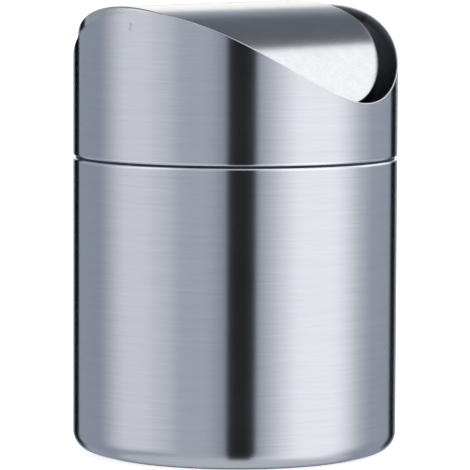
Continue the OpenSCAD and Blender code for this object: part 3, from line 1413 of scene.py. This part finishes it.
@dataclass
class Studio:
    """The camera, the surroundings, the floor and the soft lamp.

    Attributes:
        bearing_deg: The camera's azimuth, 0 looking along +y.
        elevation_deg: The camera's elevation.
        distance: Its distance from the target.
        target_z: The height of the target on the bin's axis.
        roll_deg: The camera's turn about its own line of sight.
        focal_px: The focal length in pixels of the 470 pixel frame.
        frame_px: The frame's width in pixels.
        sensor: The sensor's width in millimetres.
        clip: The nearest and the farthest that the camera sees.
        room: The light of the plain room, which is a little cool.
        cards: The soft lights and the flags.
        backdrop: The white backdrop behind the bin.
        floor_reach: Half the floor's width.
        floor_gap: How far the floor lies under the bin's feet, so that no faces coincide.
        floor_paint: The floor's colour.
        floor_lift: The light that the camera sees added to the floor, so that it reads as white.
        lamp_place: Where the lamp hangs.
        lamp_size: The lamp's width.
        lamp_watts: The lamp's power.
    """

    bearing_deg: float = -53.76
    elevation_deg: float = 5.11
    distance: float = 1.45
    target_z: float = 80.0 * MM
    roll_deg: float = 0.23
    focal_px: float = 3907.0
    frame_px: float = 470.0
    sensor: float = 36.0
    clip: tuple[float, float] = (0.05, 30.0)
    room: Colour = (0.306, 0.360, 0.440)
    cards: list[StudioCard] = field(default_factory=lambda: [
        StudioCard("left softbox", -75, 6, 34, -24, 60, 0.46, soft_ends=8),
        StudioCard("spill of the left softbox", -34, 12, 16, -40, 60, 0.14),
        StudioCard("right softbox", 62, 10, 44, -52, 60, 0.77, soft_ends=26),
        StudioCard("rear right softbox", 127, 22.4, 2.4, 6, 60, 0.78),
        StudioCard("narrow light beside the left flag", -147, 1.5, 3, -40, 20, 0.16),
        StudioCard("bright upper part of the left softbox", -75, 8, 34, 18, 60, 0.22, soft_ends=10),
        StudioCard("bright upper part of the right softbox", 62, 12, 40, 18, 60, 0.12, soft_ends=10),
        StudioCard("ceiling", 0, 180, 1, 66, 120, 0.40, soft_ends=10),
        StudioCard("overhead light on the right", 40, 40, 30, 60, 88, 0.45, soft_ends=8),
        StudioCard("table top", 0, 180, 1, -120, -43, 0.24),
        StudioCard("dark space over the backdrop", 180, 27.6, 2.4, 22.5, 66, 0.65, is_flag=True),
        StudioCard("dark room behind the camera", 4.6, 8.7, 3.5, -60, 45, 0.97, is_flag=True),
        StudioCard("left edge flag", -154.5, 7.5, 1.8, -22, 18, 1.0, is_flag=True),
        StudioCard("right edge flag", 152.5, 7.0, 2, -22, 8, 1.0, is_flag=True),
    ])
    backdrop: StudioCard = StudioCard("white backdrop", 180, 14, 2, 2, 17, 1.08, soft_ends=3)
    floor_reach: float = 4.0
    floor_gap: float = 0.05 * MM
    floor_paint: Colour = (0.86, 0.86, 0.87)
    floor_lift: float = 0.66
    lamp_place: tuple[float, float, float] = (-0.35, -0.25, 1.3)
    lamp_size: float = 0.9
    lamp_watts: float = 7.0

    def back(self) -> Vector:
        """Gives the unit direction from the target to the camera."""
        turn, rise = math.radians(self.bearing_deg), math.radians(self.elevation_deg)
        return Vector((math.sin(turn) * math.cos(rise), -math.cos(turn) * math.cos(rise), math.sin(rise)))

    def camera(self) -> None:
        """Makes the camera at the photograph's viewing angle."""
        data = bpy.data.cameras.new("photo_camera")
        data.sensor_width = self.sensor
        data.lens = self.focal_px / self.frame_px * self.sensor
        data.clip_start, data.clip_end = self.clip
        camera = new_object(data.name, data)
        back = self.back()
        camera.location = Vector((0, 0, self.target_z)) + back * self.distance
        look = (-back).to_track_quat("-Z", "Y").to_matrix().to_4x4()
        roll = Matrix.Rotation(math.radians(self.roll_deg), 4, "Z")
        camera.matrix_world = Matrix.Translation(camera.location) @ look @ roll
        bpy.context.scene.camera = camera

    def surroundings(self) -> None:
        """Builds the world: soft lights and dark flags round the bin, and plain white behind it."""
        world = bpy.data.worlds.new("studio")
        bpy.context.scene.world = world
        world.use_nodes = True
        tree = ShaderTree(world.node_tree)
        bearing, rise = self.compass(tree)
        added: object = 0.0
        kept: object = 1.0
        for card in self.cards:
            patch = self.patch(tree, card, bearing, rise)
            if card.is_flag:
                kept = tree.math("MULTIPLY", kept, tree.math("MULTIPLY_ADD", patch, -card.level, 1.0))
            else:
                added = tree.math("MULTIPLY_ADD", patch, card.level, added)
        light = tree.vector_math("ADD", added, self.room).outputs[0]
        studio = tree.node("ShaderNodeBackground")
        tree.feed(studio.inputs["Color"], tree.vector_math("SCALE", light, scale=kept).outputs[0])
        white = tree.node("ShaderNodeBackground")
        tree.feed(white.inputs["Color"], (1.0, 1.0, 1.0, 1.0))
        tree.feed(white.inputs["Strength"], self.backdrop.level)
        choice = tree.node("ShaderNodeMixShader")
        tree.feed(choice.inputs[0], self.shows_white(tree, self.patch(tree, self.backdrop, bearing, rise)))
        tree.feed(choice.inputs[1], studio.outputs[0])
        tree.feed(choice.inputs[2], white.outputs[0])
        out = tree.node("ShaderNodeOutputWorld")
        tree.feed(out.inputs["Surface"], choice.outputs[0])

    def compass(self, tree: ShaderTree) -> tuple[bpy.types.NodeSocket, bpy.types.NodeSocket]:
        """Gives where the world is looked at, as seen from the bin.

        Args:
            tree: The world's nodes.

        Returns:
            The bearing from the camera towards the picture's right and the angle above the horizon,
            in radians.
        """
        way = tree.node("ShaderNodeTexCoord").outputs["Generated"]
        turn = math.radians(self.bearing_deg)
        axes = {"to camera": (math.sin(turn), -math.cos(turn), 0.0),
                "to right": (math.cos(turn), math.sin(turn), 0.0),
                "up": (0.0, 0.0, 1.0)}
        parts = {name: tree.vector_math("DOT_PRODUCT", way, axis).outputs["Value"]
                 for name, axis in axes.items()}
        return tree.math("ARCTAN2", parts["to right"], parts["to camera"]), tree.math("ARCSINE", parts["up"])

    def shows_white(self, tree: ShaderTree, behind: bpy.types.NodeSocket) -> bpy.types.NodeSocket:
        """Tells where the backdrop shows: all round to the camera, and where it stands in reflections.

        Args:
            tree: The world's nodes.
            behind: The backdrop's patch.

        Returns:
            The backdrop's share.
        """
        path = tree.node("ShaderNodeLightPath")
        mirrored = tree.math("MAXIMUM", path.outputs["Is Glossy Ray"], path.outputs["Is Transmission Ray"])
        return tree.math("MAXIMUM", path.outputs["Is Camera Ray"], tree.math("MULTIPLY", mirrored, behind))

    def patch(self, tree: ShaderTree, card: StudioCard, bearing: bpy.types.NodeSocket,
              rise: bpy.types.NodeSocket) -> bpy.types.NodeSocket:
        """Gives 1 inside a card and 0 outside it, with soft edges.

        Args:
            tree: The world's nodes.
            card: The card.
            bearing: The bearing of the direction that is looked at, in radians.
            rise: Its angle above the horizon, in radians.

        Returns:
            The card's share in that direction.
        """
        half, soft = math.radians(card.half_width), math.radians(card.soft)
        aside = tree.math("SUBTRACT", bearing, math.radians(card.bearing))
        aside = tree.math("ABSOLUTE", tree.math("WRAP", aside, math.pi, -math.pi))
        across = tree.spread(aside, half, half + soft, 1.0, 0.0, smooth=True)
        middle, reach = math.radians(card.low + card.high) / 2, math.radians(card.high - card.low) / 2
        ends = math.radians(card.soft_ends) / 2
        above = tree.math("ABSOLUTE", tree.math("SUBTRACT", rise, middle))
        along = tree.spread(above, reach - ends, reach + ends, 1.0, 0.0, smooth=True)
        return tree.math("MULTIPLY", across, along)

    def floor(self) -> None:
        """Makes the pale floor, which is white to the camera and keeps the bin's shadow."""
        reach, depth = self.floor_reach, -self.floor_gap
        mesh = bpy.data.meshes.new("floor")
        mesh.from_pydata([(-reach, -reach, depth), (reach, -reach, depth), (reach, reach, depth),
                          (-reach, reach, depth)], [], [(0, 1, 2, 3)])
        floor = new_object("floor", mesh)
        material, tree = new_material("pale_floor")
        paint = tree.node("ShaderNodeBsdfDiffuse")
        tree.feed(paint.inputs["Color"], (*self.floor_paint, 1.0))
        lift = tree.node("ShaderNodeEmission")
        tree.feed(lift.inputs["Color"], (1.0, 1.0, 1.0, 1.0))
        tree.feed(lift.inputs["Strength"], tree.math(
            "MULTIPLY", tree.node("ShaderNodeLightPath").outputs["Is Camera Ray"], self.floor_lift))
        both = tree.node("ShaderNodeAddShader")
        tree.feed(both.inputs[0], paint.outputs[0])
        tree.feed(both.inputs[1], lift.outputs[0])
        out = tree.node("ShaderNodeOutputMaterial")
        tree.feed(out.inputs["Surface"], both.outputs[0])
        mesh.materials.append(material)
        floor.visible_glossy = False

    def lamp(self) -> None:
        """Adds a large soft lamp overhead, for the shadow on the floor."""
        data = bpy.data.lights.new("overhead", "AREA")
        data.shape = "DISK"
        data.size = self.lamp_size
        data.energy = self.lamp_watts
        lamp = new_object(data.name, data)
        lamp.location = self.lamp_place
        lamp.rotation_euler = Vector(lamp.location).to_track_quat("Z", "Y").to_euler()
        lamp.visible_glossy = False

    def build(self) -> None:
        """Sets up the whole studio."""
        bpy.context.scene.view_settings.view_transform = "Standard"
        self.camera()
        self.surroundings()
        self.floor()
        self.lamp()
        LOG.info("studio ready, with %d lights and flags", len(self.cards))


def dress(piece: bpy.types.Object, body: Body, slot: str, *replaced: str) -> None:
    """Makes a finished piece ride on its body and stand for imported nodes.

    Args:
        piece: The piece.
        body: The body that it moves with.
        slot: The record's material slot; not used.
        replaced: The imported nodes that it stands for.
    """
    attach(piece, body.value)
    if replaced:
        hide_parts(*replaced)
    LOG.info("built %s on %s, %d faces", piece.name, body.value, len(piece.data.polygons))


def pivot_of(frame: dict, joint_name: str) -> Vector:
    """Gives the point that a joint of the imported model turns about."""
    return Vector(next(joint for joint in frame["joints"] if joint["name"] == joint_name)["pos_m"])


def main(frame: dict) -> None:
    """Builds the studio and every piece of the bin.

    Args:
        frame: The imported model's nodes and joints.
    """
    logging.basicConfig(level=logging.INFO, format="%(name)s: %(message)s")
    Studio().build()
    finishes = Finishes()
    welds = WeldSpots()
    pivot = pivot_of(frame, "flap_swing")
    BinBody(Lathe(), welds, finishes).build()
    BinHead(welds, finishes, pivot).build()
    PushFlap(finishes, pivot).build()
    HingeParts(finishes, frame["nodes"]).build()


if __name__ == "__main__":
    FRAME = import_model()
    main(FRAME)
